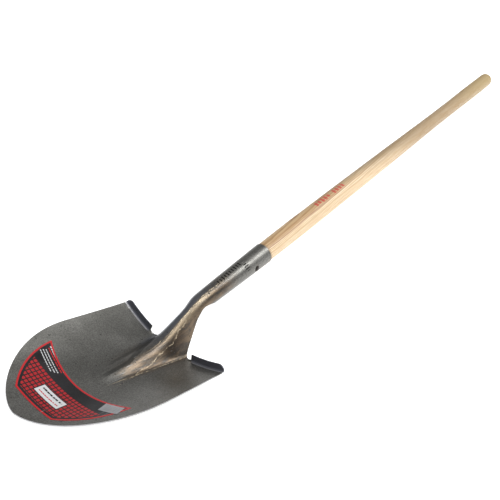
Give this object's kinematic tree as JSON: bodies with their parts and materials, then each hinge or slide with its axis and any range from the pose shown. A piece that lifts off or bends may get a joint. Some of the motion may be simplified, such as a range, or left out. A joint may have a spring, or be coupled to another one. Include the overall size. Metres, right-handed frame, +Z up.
{
  "type": "round point shovel",
  "caption": "Long-handled shovel with a dished round point blade, turned steps, a raised rib that runs into a closed socket, and a tapered wooden handle.",
  "frame": {"origin": "on the floor the shovel lies on, face up, on its mirror plane, under the middle of its overall length", "axes": "+X across the blade; +Y from the blade's tip towards the free end of the handle; +Z up from the floor, on the side the dished face looks to"},
  "size_m": [0.2238, 1.481, 0.1207],
  "materials": {
    "head_steel": "clear-lacquered dark grey steel with a fine speckle, heat-tinted at the neck",
    "handle_wood": "pale ash, sanded and clear lacquered",
    "rivet_steel": "dark plain steel",
    "label_film": "printed adhesive film, black with a red edge",
    "sticker_film": "white paper sticker with plain bars"
  },
  "bodies": {
    "root": {"head": "head_steel", "handle": "handle_wood", "rivet": "rivet_steel", "blade_label": "label_film", "price_sticker": "sticker_film"}
  },
  "joints": []
}
